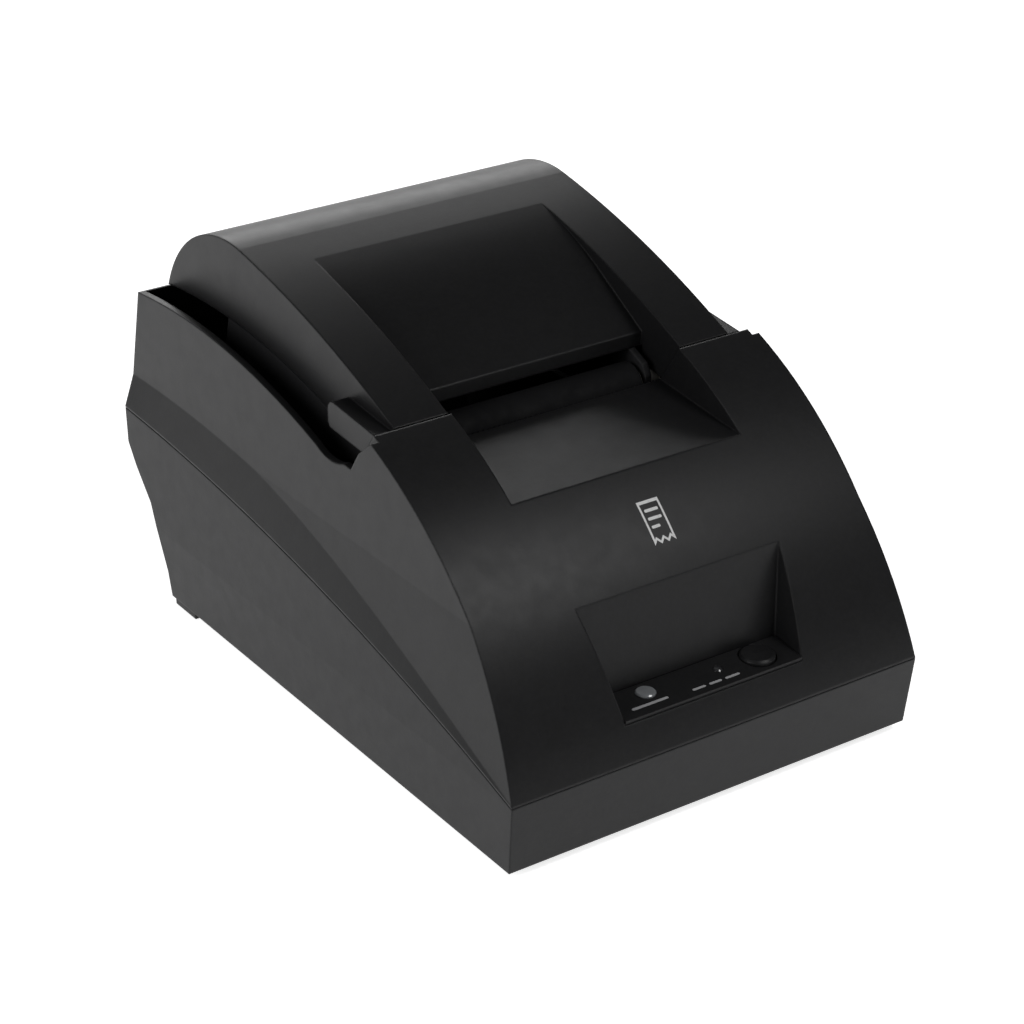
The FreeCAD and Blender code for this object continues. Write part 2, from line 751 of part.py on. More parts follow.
def make_panel_parts():
    """Feed button, light guides and the small board behind the panel."""
    button_top = S.window_floor + 0.5 + S.button_rise
    button = Bench("feed_button_body")
    button.turned([
        (0, -8.4), (2.0, -8.4), (2.0, -5.4), (S.button_flange, -5.4), (S.button_flange, -4.6),
        (S.button_radius, -4.6), (S.button_radius, -0.5), (S.button_radius - 0.5, 0), (0, 0.25),
    ])
    node("feed_button", button.body, S.button_x, S.button_y, button_top)
    lights = (("power_lens", S.power_x, S.power_y, 2.5, 0.45), ("error_lens", S.error_x, S.error_y, 1.25, 0.2))
    for label, x, y, radius, rise in lights:
        lens = Bench(label + "_body")
        lens.turned([
            (0, -8.2), (radius - 0.35, -8.2), (radius, -7.8), (radius, -0.3), (radius - 0.35, 0), (0, 0.15),
        ])
        node(label, lens.body, x, y, S.window_floor + 0.65 + rise)
    board = Bench("panel_board_body")
    board.pad(0, 1.2, lambda sk: outline(sk, rectangle((-23, 23), (-4.5, 12))))
    board.pocket(1.2, 1.2, lambda sk: [ring(sk, x, 8, 1.4) for x in (-19, 19)])
    node("panel_board", board.body, 0, S.power_y, 18.4)
    chips = [
        box("power_led_chip", (S.power_x - 1.6, S.power_x + 1.6), (S.power_y - 1.4, S.power_y + 1.4), (19.6, 21.2)),
        box("error_led_chip", (S.error_x - 1.0, S.error_x + 1.0), (S.error_y - 1.0, S.error_y + 1.0), (19.6, 21.2)),
    ]
    node("led_chips", group("led_chips_group", chips))
    switch = joined("tact_switch_solid", [
        box("tact_body", (S.button_x - 3, S.button_x + 3), (S.button_y - 3, S.button_y + 3), (19.6, 21.4)),
        rod("tact_plunger", "z", 1.6, 21.3, 22.2, S.button_x, S.button_y),
    ])
    node("feed_switch", switch)
    legs = [rod(f"panel_leg_{i}", "z", 2.4, 4.75, 18.4, x, S.power_y + 8) for i, x in enumerate((-19, 19))]
    node("panel_standoffs", group("panel_standoffs_group", legs))


def cover_outline():
    """Side view of the cover, from the seam round the shoulder and back along its lower edge."""
    corners = [
        (S.seam_y + 0.45, S.seam_top + 0.1),
        (S.seam_low_y + 0.45, S.seam_low),
        (S.cover_side_y, S.cover_side_low),
        (S.cover_heel_y, S.cover_heel),
        (S.crown_y, S.crown),
    ]
    return corners, {2: -S.cheek_bow, 3: S.shoulder, 4: S.cover_bow}


def make_cover():
    """Lid shell with its scoop, side walls and finger tabs."""
    corners, bows = cover_outline()
    outer = prism("cover_outer", "side", -S.cover_half, S.cover_half, corners, bows)
    skin = S.cover_skin
    inner_half = S.cover_half - skin
    cavity = prism("cover_cavity", "side", -inner_half, inner_half, [
        (S.seam_y + 0.45 + skin + 0.9, S.seam_top - skin),
        (S.seam_low_y + 0.45 + skin + 0.4, S.seam_low - 0.5),
        (S.seam_low_y + 3, 60),
        (S.cover_heel_y + 3, 60),
        (S.cover_heel_y - 1.55, S.cover_heel - 0.3),
        (S.crown_y + 0.2, S.crown - skin),
    ], {4: S.shoulder - skin, 5: S.cover_bow - skin})
    scoop = prism("scoop", "side", -S.scoop_half, S.scoop_half, [
        (S.seam_y - 10, 60),
        (S.scoop_front_y, 60),
        (S.scoop_front_y, S.scoop_front),
        (S.scoop_mid_y, S.scoop_mid),
        (S.scoop_back_y, S.scoop_back),
        (S.scoop_back_y, 120),
        (S.seam_y - 10, 120),
    ], {3: -S.scoop_bow})
    grown = prism("scoop_wall", "side", -(S.scoop_half + skin), S.scoop_half + skin, [
        (S.seam_y - 10, 50),
        (S.scoop_front_y + skin, 50),
        (S.scoop_front_y + skin, S.scoop_front - 1.2),
        (S.scoop_mid_y + 0.9, S.scoop_mid - skin + 0.1),
        (S.scoop_back_y + 0.5, S.scoop_back - skin),
        (S.scoop_back_y + 0.5, 120),
        (S.seam_y - 10, 120),
    ], {3: -S.scoop_bow})
    hollow = without("cover_hollow", cavity, [grown])
    skirt = box("scoop_skirt", (-(S.scoop_half + skin + 0.1), S.scoop_half + skin + 0.1),
                (S.scoop_front_y - 0.2, S.scoop_front_y + skin + 0.1), (60, 80))
    gear_way = box("cover_gear_way", (36.6, 41.6), (-22, -13), (60, S.seam_low + 3.1))
    shell = without("cover_shell", outer, [hollow, scoop, skirt, gear_way])
    tabs = [finger_tab(name, sign) for name, sign in SIDES]
    bosses = []
    for name, sign in SIDES:
        for row, y, top in LINER_BOSSES:
            bosses.append(rod(f"cover_boss_{row}_{name}", "z", 2.4, top - 7.2, top, sign * 40.5, y))
    whole = joined("cover_fused", [shell] + tabs + bosses)
    pilots = []
    for name, sign in SIDES:
        for row, y, top in LINER_BOSSES:
            pilots.append(rod(f"cover_pilot_{row}_{name}", "z", S.screw_radius, top - 8, top - 2.5, sign * 40.5, y))
    node("cover", without("cover_body", whole, pilots))


def finger_tab(name, sign):
    """Ledge on the side of the cover that a finger lifts."""
    low, high = ordered(sign * (S.cover_half - 0.4), sign * S.tab_reach)
    corners = [
        (S.seam_y + 1.6, S.tab_top),
        (S.seam_y + 5.8, S.tab_low),
        (S.tab_back_y - 0.8, S.tab_low + 1.0),
        (S.tab_back_y, S.tab_low + 2.2),
        (S.tab_back_y, S.tab_back - 2.6),
        (S.tab_back_y - 2.6, S.tab_back),
    ]
    return prism(f"tab_{name}", "side", low, high, corners, {4: Size.of(2.6)})


def make_cover_liner():
    """Inner frame of the lid: ceiling, hinge arms and the brackets that carry the platen."""
    arm_low, arm_high = S.cover_half - 4.2, S.cover_half - 2.3
    parts = []
    cuts = []
    for name, sign in SIDES:
        low, high = ordered(sign * arm_low, sign * arm_high)
        parts.append(prism(f"liner_side_{name}", "side", low, high, [
            (S.seam_low_y + 4.2, S.seam_low - 1.0),
            (S.seam_low_y + 9, S.seam_low - 7.0),
            (S.hinge_y - 8, S.hinge_z - 6),
            (S.hinge_y - 2, S.hinge_z - 8),
            (S.hinge_y + 6, S.hinge_z - 6),
            (S.hinge_y + 8, S.hinge_z + 1),
            (S.hinge_y + 2, 96.4),
            (1.5, 85.8),
            (-11.5, 79.4),
        ]))
        cuts.append(rod(f"arm_bore_{name}", "x", S.pin_radius + S.bush_gap, *ordered(sign * 40, sign * 50),
                        y=S.hinge_y, z=S.hinge_z))
        low, high = ordered(sign * (S.platen_half + 1.0), sign * (S.platen_half + 2.8))
        parts.append(prism(f"platen_bracket_{name}", "side", low, high, [
            (S.platen_y - 4.6, S.platen_z - 2.0),
            (S.platen_y - 2.6, S.platen_z - 4.4),
            (S.platen_y + 2.6, S.platen_z - 4.4),
            (S.platen_y + 6, S.platen_z),
            (3.0, 81.0),
            (3.0, 86.6),
            (-6.6, 81.4),
            (S.platen_y - 3.0, S.platen_z + 5.8),
            (S.platen_y - 4.6, S.platen_z + 3.0),
        ]))
        cuts.append(rod(f"bracket_bore_{name}", "x", S.bush_radius + S.bush_gap, *ordered(sign * 28, sign * 33),
                        y=S.platen_y, z=S.platen_z))
    parts.append(prism("liner_ceiling", "side", -arm_high, arm_high, [
        (-7.0, 79.4),
        (1.5, 84.2),
        (S.hinge_y + 2.6, 94.8),
        (S.hinge_y + 2.6, 96.4),
        (1.2, 85.8),
        (-7.6, 80.8),
    ]))
    whole = joined("liner_fused", parts)
    for name, sign in SIDES:
        for row, y in (("near", 2.0), ("far", 36.0)):
            cuts.append(rod(f"liner_hole_{row}_{name}", "z", 1.3, 70, 110, sign * 40.5, y))
    node("cover_liner", without("cover_liner_body", whole, cuts))


def make_platen():
    """Rubber roller on its steel shaft, with two bushes."""
    rubber = Bench("platen_rubber_body")
    inner, outer, half = S.shaft_radius, S.platen_radius, S.platen_half
    rubber.turned([
        (inner, -half), (outer - 0.4, -half), (outer, -half + 0.4), (outer, half - 0.4), (outer - 0.4, half), (inner, half),
    ])
    node("platen_rubber", rubber.body, 0, S.platen_y, S.platen_z, ALONG_X)
    shaft = Bench("platen_shaft_body")
    low, high = -36.4, S.gear_low_x + S.gear_width + 0.4
    shaft.turned([
        (0, low), (inner - 0.3, low), (inner, low + 0.3), (inner, high - 0.3), (inner - 0.3, high), (0, high),
    ])
    node("platen_shaft", shaft.body, 0, S.platen_y, S.platen_z, ALONG_X)
    for name, sign in SIDES:
        bush = Bench(f"platen_bush_{name}_body")
        reach = S.frame_half + S.frame_wall + 0.4
        near, far = S.platen_half + 0.35, reach
        bore = inner + S.bush_gap
        bush.turned([
            (bore, near), (S.bush_radius + 0.9, near), (S.bush_radius + 0.9, near + 0.55),
            (S.bush_radius, near + 0.55), (S.bush_radius, far), (bore, far),
        ])
        turn = ALONG_X if sign > 0 else FreeCAD.Rotation(FreeCAD.Vector(0, 1, 0), -90)
        node(f"platen_bush_{name}", bush.body, 0, S.platen_y, S.platen_z, turn)


def gear_face(teeth, bore, phase):
    """Involute gear outline as a face in its own plane, with a little backlash."""
    module = S.gear_module.value
    pressure = math.radians(20)
    pitch_radius = module * teeth / 2
    base_radius = pitch_radius * math.cos(pressure)
    tip_radius = pitch_radius + 0.92 * module
    root_radius = pitch_radius - 1.2 * module
    backlash = 0.16
    half_tooth = math.pi / (2 * teeth) - backlash / (2 * pitch_radius)
    involute = lambda angle: math.tan(angle) - angle
    start_radius = max(base_radius, root_radius + 0.02)
    steps = [start_radius + (tip_radius - start_radius) * k / 4 for k in range(5)]
    offsets = []
    for radius in steps:
        angle = math.acos(min(1.0, base_radius / radius))
        offsets.append((radius, half_tooth + involute(pressure) - involute(angle)))
    points = []
    for tooth in range(int(teeth)):
        middle = phase + 2 * math.pi * tooth / teeth
        flank = [(root_radius, offsets[0][1])] + offsets
        for radius, off in flank:
            points.append(FreeCAD.Vector(radius * math.cos(middle - off), radius * math.sin(middle - off), 0))
        for radius, off in reversed(flank):
            points.append(FreeCAD.Vector(radius * math.cos(middle + off), radius * math.sin(middle + off), 0))
    points.append(points[0])
    face = Part.Face(Part.makePolygon(points))
    hole = Part.Face(Part.Wire(Part.makeCircle(bore)))
    return face.cut(hole)


def make_gears():
    """Spur train from the motor's pinion through the idler to the platen's gear, in mesh at rest."""
    module = S.gear_module.value
    teeth = {"platen_gear": S.platen_teeth.value, "idler_gear": S.idler_teeth.value, "motor_pinion": S.pinion_teeth.value}
    first_gap = module * (teeth["platen_gear"] + teeth["idler_gear"]) / 2
    second_gap = module * (teeth["idler_gear"] + teeth["motor_pinion"]) / 2
    platen = FreeCAD.Vector(0, S.platen_y.value, S.platen_z.value)
    idler = platen + FreeCAD.Vector(0, 0, -first_gap)
    lean = math.radians(209.4)
    pinion = idler + FreeCAD.Vector(0, math.cos(lean), math.sin(lean)) * second_gap
    # In the gears' own plane the first axis is Y and the second is Z.
    down = -math.pi / 2
    platen_phase = down
    idler_phase = math.pi / 2 + math.pi / teeth["idler_gear"]
    pitch = 2 * math.pi / teeth["idler_gear"]
    ahead = (lean - idler_phase) % pitch
    pinion_phase = lean + math.pi + ahead * teeth["idler_gear"] / teeth["motor_pinion"] + math.pi / teeth["motor_pinion"]
    details = {
        "platen_gear": (platen, platen_phase, S.shaft_radius.value),
        "idler_gear": (idler, idler_phase, 1.5 + S.bush_gap.value),
        "motor_pinion": (pinion, pinion_phase, 1.0),
    }
    for label, (centre, phase, bore) in details.items():
        blank = gear_face(teeth[label], bore, phase).extrude(FreeCAD.Vector(0, 0, S.gear_width.value))
        gear = doc.addObject("Part::Feature", label + "_body")
        gear.Shape = blank
        node(label, gear, S.gear_low_x, centre.y, centre.z, VIEWS["side"][0])
    return idler, pinion


def make_mechanism(idler, pinion):
    """Metal frame with slots for the platen, the motor, the idler's post and the gear cover."""
    wall = S.frame_wall
    parts = []
    for name, sign in SIDES:
        low, high = ordered(sign * S.frame_half, sign * (S.frame_half + wall))
        parts.append(prism(f"frame_side_{name}", "side", low, high, [
            (S.frame_front_y, S.frame_low),
            (S.frame_back_y, S.frame_low),
            (S.frame_back_y, S.frame_top - 3),
            (S.frame_back_y - 2, S.frame_top),
            (S.seam_low_y - 1.6, S.frame_top - 4.6),
            (S.frame_front_y, S.frame_top - 8),
        ]))
    inner = S.frame_half + 0.1
    parts.append(box("frame_floor", (-inner, inner), (S.frame_front_y, S.frame_back_y), (S.frame_low, S.frame_low + 1.5)))
    parts.append(box("frame_front", (-inner, inner), (S.frame_front_y, S.frame_front_y + 1.5), (S.frame_low, 70)))
    guide = prism("frame_guide", "side", -inner, inner, [
        (S.frame_back_y - 6.2, S.frame_low + 1),
        (S.frame_back_y - 4.7, S.frame_low + 1),
        (S.frame_back_y - 4.7, 60.0),
        (S.frame_back_y, 62.5),
        (S.frame_back_y, 64.0),
        (S.frame_back_y - 6.2, 61.0),
    ])
    parts.append(guide)
    whole = joined("frame_fused", parts)
    cuts = []
    slot = S.bush_radius + S.bush_gap
    for name, sign in SIDES:
        low, high = ordered(sign * (S.frame_half - 1), sign * (S.frame_half + wall + 1))
        cuts.append(rod(f"frame_slot_{name}", "x", slot, low, high, y=S.platen_y, z=S.platen_z))
        cuts.append(prism(f"frame_mouth_{name}", "side", low, high, [
            (S.platen_y - slot, S.platen_z),
            (S.platen_y + slot, S.platen_z),
            (S.platen_y + slot + 1.6, S.frame_top + 2),
            (S.platen_y - slot - 0.8, S.frame_top + 2),
        ]))
        cuts.append(rod(f"frame_pivot_hole_{name}", "x", 1.0, low, high, y=S.head_pivot_y, z=S.head_pivot_z))
        for row, y in (("near", S.frame_front_y + 6), ("far", S.frame_back_y - 5)):
            cuts.append(rod(f"frame_floor_hole_{row}_{name}", "z", 1.6, 30, 50, sign * FRAME_SCREW_X, y))
    cuts.append(rod("motor_way", "x", 3.0, 32, 36, y=pinion.y, z=pinion.z))
    for name, sign in SIDES:
        reach = ordered(sign * (FRAME_SCREW_X - 3), sign * (FRAME_SCREW_X + 3))
        cuts.append(box(f"frame_screw_reach_{name}", reach, (S.frame_back_y - 8, S.frame_back_y + 1),
                        (S.frame_low + 1.5, S.frame_low + 12)))
    node("mechanism_frame", without("mechanism_frame_body", whole, cuts))

    axle = Bench("idler_axle_body")
    axle.turned([(0, 0), (1.5, 0), (1.5, 5.9), (2.3, 5.9), (2.3, 6.6), (0, 6.6)])
    node("idler_axle", axle.body, S.frame_half + wall, idler.y, idler.z, ALONG_X)

    motor = Bench("stepper_motor_body")
    radius = S.motor_radius
    motor.turned([(0, 0), (radius - 0.6, 0), (radius, 0.6), (radius, 13.4), (radius - 0.6, 14), (2.9, 14), (2.9, 15.6),
                  (0, 15.6)])
    node("stepper_motor", motor.body, S.frame_half - 14, pinion.y, pinion.z, ALONG_X)
    spindle = Bench("motor_shaft_body")
    spindle.turned([(0, 0), (1.0, 0), (1.0, 6.4), (0, 6.4)])
    node("motor_shaft", spindle.body, S.frame_half + 1.75, pinion.y, pinion.z, ALONG_X)

    low_x, high_x = S.frame_half + wall + 6.8, S.frame_half + wall + 7.8
    plate = prism("gear_cover_plate", "side", low_x, high_x, [
        (S.frame_front_y + 1, S.frame_low + 0.5),
        (S.frame_back_y + 0.5, S.frame_low + 0.5),
        (S.frame_back_y + 0.5, 62.5),
        (S.frame_front_y + 1, 62.5),
    ])
    feet = [
        box("gear_cover_foot_front", (S.frame_half + wall, low_x + 0.1), (S.frame_front_y + 1, S.frame_front_y + 2.2),
            (S.frame_low + 0.5, 62.5)),
        box("gear_cover_foot_low", (S.frame_half + wall, low_x + 0.1), (S.frame_front_y + 1, S.frame_back_y + 0.5),
            (S.frame_low + 0.5, S.frame_low + 1.5)),
    ]
    node("gear_cover", joined("gear_cover_body", [plate] + feet))


def make_print_head():
    """Ceramic heater bar on its aluminium sink, pivoted low down and pushed by two springs."""
    back = S.head_face_y - S.ceramic_thick
    ceramic = box("ceramic", (-S.head_half, S.head_half), (back, S.head_face_y), (S.head_low + 1, S.head_top))
    node("print_head", group("print_head_group", [ceramic]))
    sink = box("sink_block", (-S.head_half, S.head_half), (back - S.sink_thick, back), (S.head_low, S.sink_top))
    fins = [box(f"sink_groove_{i}", (-25 + 5 * i, -23.4 + 5 * i), (back - S.sink_thick - 1, back - 1.8), (66.5, 80))
            for i in range(11)]
    bore = rod("sink_bore", "x", 1.0 + S.bush_gap, -30, 30, y=S.head_pivot_y, z=S.head_pivot_z)
    node("head_sink", without("head_sink_body", sink, fins + [bore]))
    axle = Bench("head_axle_body")
    half = S.frame_half + S.frame_wall + 0.5
    axle.turned([(0, -half), (1.0, -half), (1.0, half), (0, half)])
    node("head_axle", axle.body, 0, S.head_pivot_y, S.head_pivot_z, ALONG_X)
    coils = []
    for i, x in enumerate((-17.5, 17.5)):
        coil = doc.addObject("Part::Feature", f"head_spring_{i}")
        path = Part.makeHelix(1.6, 8.6, 2.1)
        section = Part.Wire(Part.makeCircle(0.3, FreeCAD.Vector(2.1, 0, 0), FreeCAD.Vector(0, 1, 0)))
        coil.Shape = Part.Wire(path).makePipeShell([section], True, True)
        place(coil, x, S.frame_front_y + 1.9, 67.2, FreeCAD.Rotation(FreeCAD.Vector(1, 0, 0), -90))
        coils.append(coil)
    node("head_springs", group("head_springs_group", coils))


def make_tear_bar():
    """Serrated steel strip behind the ramp's rear edge."""
    half, pitch, depth = 31.5, 1.5, 0.6
    top = S.seam_low + 0.1
    corners = [(-half, S.seam_low - 1.3), (half, S.seam_low - 1.3)]
    count = int(2 * half / pitch)
    for i in range(count):
        corners.append((half - i * pitch, top - depth))
        corners.append((half - (i + 0.5) * pitch, top))
    corners.append((-half, top - depth))
    node("tear_bar", prism("tear_bar_strip", "front", S.seam_low_y + 0.05, S.seam_low_y + 0.5, corners))


def make_paper_bucket():
    """Tray that the paper roll drops into."""
    radius, wall = S.bucket_radius, S.bucket_wall
    out = radius + wall
    y, z = S.roll_y, S.roll_z
    outer = prism("bucket_outer", "side", -(S.bucket_half + wall), S.bucket_half + wall, [
        (y - out, z), (y, z - out), (y + out, z), (y + out, z + 4), (y - out - 2, z + 6),
        (y - out - 2, z + 4),
    ], {0: out, 1: out})
    inner = prism("bucket_inner", "side", -S.bucket_half, S.bucket_half, [
        (y - radius, z), (y, z - radius), (y + radius, z), (y + radius, z + 10), (y - radius, z + 10),
    ], {0: radius, 1: radius})
    ears = []
    for name, sign in SIDES:
        for row, at in (("near", S.roll_y - 20), ("far", S.roll_y + 14)):
            ears.append(box(f"bucket_ear_{row}_{name}", ordered(sign * (S.bucket_half + 0.5), sign * 47.0),
                            (at - 3, at + 3), (28.0, 30.0)))
        for row, at in (("near", S.roll_y - 20), ("far", S.roll_y + 14)):
            ears.append(box(f"bucket_leg_{row}_{name}", ordered(sign * (S.bucket_half + 0.5), sign * (S.bucket_half + 2)),
                            (at - 3, at + 3), (28.0, 50.0)))
    shell = without("bucket_shell", outer, [inner])
    whole = joined("bucket_fused", [shell] + ears)
    trimmed = without("bucket_trim", whole, [
        box("bucket_sensor_way", (-4, 4), (S.roll_y - 6, S.roll_y + 6), (20, 29)),
    ])
    node("paper_bucket", trimmed)
    sensor = box("sensor_block", (-3.7, 3.7), (S.roll_y - 5.5, S.roll_y + 5.5), (25.5, 28.6))
    node("paper_sensor", group("paper_sensor_group", [sensor]))


def make_electronics():
    """Main board, chips, rear sockets and the rocker switch."""
    low = S.board_low
    top = low + S.board_thick
    board = Bench("main_board_body")
    board.pad(0, S.board_thick, lambda sk: outline(sk, BOARD_OUTLINE))
    board.pocket(S.board_thick, S.board_thick, lambda sk: [ring(sk, x, y, 1.5) for x, y in BOARD_HOLES])
    node("main_board", board.body, 0, 0, low)
    chips = [
        box("processor", (-12, -2), (20, 30), (top, top + 1.4)),
        box("memory_chip", (6, 12), (22, 30), (top, top + 1.2)),
        box("motor_driver", (20, 27), (24, 32), (top, top + 1.4)),
        rod("capacitor_a", "z", 4.0, top, top + 9.5, -30, 30),
        rod("capacitor_b", "z", 4.0, top, top + 9.5, -30, 40),
        box("head_connector", (-8, 10), (12, 16), (top, top + 2.6)),
    ]
    node("board_parts", group("board_parts_group", chips))
    rear = S.bay_wall_y + 0.3
    usb = without("usb_cut", box("usb_shell", (S.usb_x - 6, S.usb_x + 6), (50, rear), (top, top + 11)), [
        prism("usb_mouth", "front", rear - 9, rear + 1, [
            (S.usb_x - 4.2, top + 1.6), (S.usb_x + 4.2, top + 1.6), (S.usb_x + 4.2, top + 7.6),
            (S.usb_x + 2.6, top + 9.4), (S.usb_x - 2.6, top + 9.4), (S.usb_x - 4.2, top + 7.6),
        ]),
    ])
    tongue = box("usb_tongue", (S.usb_x - 2.8, S.usb_x + 2.8), (rear - 9.2, rear - 1.5), (top + 4.0, top + 7.0))
    node("usb_socket", joined("usb_socket_body", [usb, tongue]))
    jack = without("jack_cut", box("jack_block", (S.jack_x - 4.5, S.jack_x + 4.5), (52, rear), (top, top + 11)), [
        rod("jack_bore", "y", 3.15, rear - 9.5, rear + 1, S.jack_x, z=top + 6),
    ])
    pin = rod("jack_pin", "y", 1.0, rear - 9.8, rear - 1, S.jack_x, z=top + 6)
    node("power_jack", joined("power_jack_body", [jack, pin]))
    drawer = without("drawer_cut", box("drawer_block", (S.drawer_x - 6.8, S.drawer_x + 6.8), (48, rear), (top, top + 12)), [
        box("drawer_mouth", (S.drawer_x - 4.9, S.drawer_x + 4.9), (rear - 10, rear + 1), (top + 2.4, top + 9.2)),
        box("drawer_latch_way", (S.drawer_x - 1.8, S.drawer_x + 1.8), (rear - 10, rear + 1), (top + 1.2, top + 2.6)),
    ])
    node("drawer_socket", drawer)
    x, z = S.rocker_x, S.rocker_z
    half, tall = S.rocker_half, S.rocker_tall
    body = joined("rocker_frame_solid", [
        box("rocker_box", (x - half - 0.8, x + half + 0.8), (53, rear), (z - tall - 0.8, z + tall + 0.8)),
        box("rocker_bezel", (x - half - 2, x + half + 2), (S.bay_wall_y, S.bay_wall_y + 1.6), (z - tall - 2, z + tall + 2)),
    ])
    node("switch_housing", without("switch_housing_body", body, [
        box("rocker_well", (x - half, x + half), (58, 72), (z - tall, z + tall)),
    ]))
    pivot_y = S.bay_wall_y - 2
    rocker = prism("rocker_profile", "side", x - half + 0.3, x + half - 0.3, [
        (-2.4, -2.6), (3.9, -7.3), (4.5, -7.3), (3.0, 0), (4.5, 7.3), (3.9, 7.3), (-2.4, 2.6),
    ])
    stub = rod("rocker_stub_way", "x", 1.0 + S.bush_gap, x - half, x + half)
    node("power_rocker", without("power_rocker_body", rocker, [stub]), 0, pivot_y, z,
         FreeCAD.Rotation(FreeCAD.Vector(1, 0, 0), -DIMENSIONS["rocker_tilt"]))
    pin = rod("rocker_pin_rod", "x", 1.0, x - half, x + half, y=pivot_y, z=z)
    node("rocker_pin", group("rocker_pin_group", [pin]))


def make_fasteners():
    """Pins, feet and the groups of like screws."""
    for name, sign in SIDES:
        pin = Bench(f"hinge_pin_{name}_body")
        pin.turned([(0, 42.6), (S.pin_radius - 0.4, 42.6), (S.pin_radius, 43.0), (S.pin_radius, S.bay_half - 0.6),
                    (0, S.bay_half - 0.6)])
        turn = ALONG_X if sign > 0 else FreeCAD.Rotation(FreeCAD.Vector(0, 1, 0), -90)
        node(f"hinge_pin_{name}", pin.body, 0, S.hinge_y, S.hinge_z, turn)
    feet = []
    for _, sign in SIDES:
        for y in (S.foot_front_y, S.foot_rear_y):
            foot = doc.addObject("Part::Cone", "foot")
            bind(foot, Radius1=S.foot_radius - 0.6, Radius2=S.foot_radius, Height=S.foot_rise + 0.6)
            place(foot, sign * S.foot_x, y, 0)
            feet.append(foot)
    node("rubber_feet", group("rubber_feet_group", feet))
    case_screws = [screw("case_screw", sign * S.post_x, y, S.foot_rise + 1.4, 10, False)
                   for _, sign in SIDES for y in (S.post_front_y, S.post_rear_y)]
    node("case_screws", group("case_screws_group", case_screws))
    board_screws = [screw("board_screw", Size.of(x), Size.of(y), S.board_low + S.board_thick, 4.6, True)
                    for x, y in BOARD_HOLES]
    node("board_screws", group("board_screws_group", board_screws))
    frame_screws = [screw("frame_screw", x, y, S.frame_low + 1.5, 7.5, True)
                    for x in (-FRAME_SCREW_X, FRAME_SCREW_X) for y in (S.frame_front_y + 6, S.frame_back_y - 5)]
    node("frame_screws", group("frame_screws_group", frame_screws))
    liner_screws = [screw("liner_screw", sign * 40.5, y, z, 5.4, False)
                    for _, sign in SIDES for y, z in ((2.0, 83.2), (36.0, 90.9))]
    node("liner_screws", group("liner_screws_group", liner_screws))


def screw(name, x, y, seat, length, head_up):
    """Pan-head screw whose head bears on a seat; the shank runs down when the head is up."""
    head = Size.of(1.5)
    seat = Size.of(seat)
    shank_span = (seat - length, seat + 0.1) if head_up else (seat - 0.1, seat + length)
    head_span = (seat, seat + head) if head_up else (seat - head, seat)
    shank = rod(name + "_shank", "z", S.screw_radius - 0.05, *shank_span, x, y)
    top = rod(name + "_head", "z", S.screw_head, *head_span, x, y)
    slot_z = (seat + head - 0.7, seat + head + 1) if head_up else (seat - head - 1, seat - head + 0.7)
    slots = [box(name + "_slot_a", (x - 1.3, x + 1.3), (y - 0.25, y + 0.25), slot_z),
             box(name + "_slot_b", (x - 0.25, x + 0.25), (y - 1.3, y + 1.3), slot_z)]
    return without(name + "_cut", joined(name, [shank, top]), slots)


make_upper_case()
make_lower_case()
make_control_panel()
make_panel_parts()
make_cover()
make_cover_liner()
make_platen()
idler_centre, pinion_centre = make_gears()
make_mechanism(idler_centre, pinion_centre)
make_print_head()
make_tear_bar()
make_paper_bucket()
make_electronics()
make_fasteners()

doc.recompute()
faults = [o.Label for o in doc.Objects if "Invalid" in o.State or "Error" in o.State]
faults += [label for label, o in NODES.items() if o.Shape.isNull() or not o.Shape.isValid()]
if faults:
    raise SystemExit("failed: " + ", ".join(faults))

os.makedirs("parts", exist_ok=True)
for label, obj in NODES.items():
    obj.Shape.exportStep(os.path.join("parts", label + ".step"))
    print(label, len(obj.Shape.Solids), round(obj.Shape.Volume, 1))
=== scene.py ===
import json
import math

import bpy
from mathutils import Matrix, Vector


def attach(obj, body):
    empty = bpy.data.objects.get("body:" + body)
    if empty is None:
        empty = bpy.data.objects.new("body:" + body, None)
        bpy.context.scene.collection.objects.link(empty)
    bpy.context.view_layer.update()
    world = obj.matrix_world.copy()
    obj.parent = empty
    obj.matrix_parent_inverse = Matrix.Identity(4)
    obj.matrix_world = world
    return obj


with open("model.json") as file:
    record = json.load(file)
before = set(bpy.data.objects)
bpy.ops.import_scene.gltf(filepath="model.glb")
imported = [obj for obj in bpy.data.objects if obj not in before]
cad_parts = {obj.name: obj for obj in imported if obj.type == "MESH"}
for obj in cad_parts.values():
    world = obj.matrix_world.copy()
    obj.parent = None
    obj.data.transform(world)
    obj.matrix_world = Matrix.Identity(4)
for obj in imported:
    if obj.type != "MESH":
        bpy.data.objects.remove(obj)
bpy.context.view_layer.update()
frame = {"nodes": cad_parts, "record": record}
NODES = frame["nodes"]
MM = 0.001


# ------------------------------------------------------------------ materials

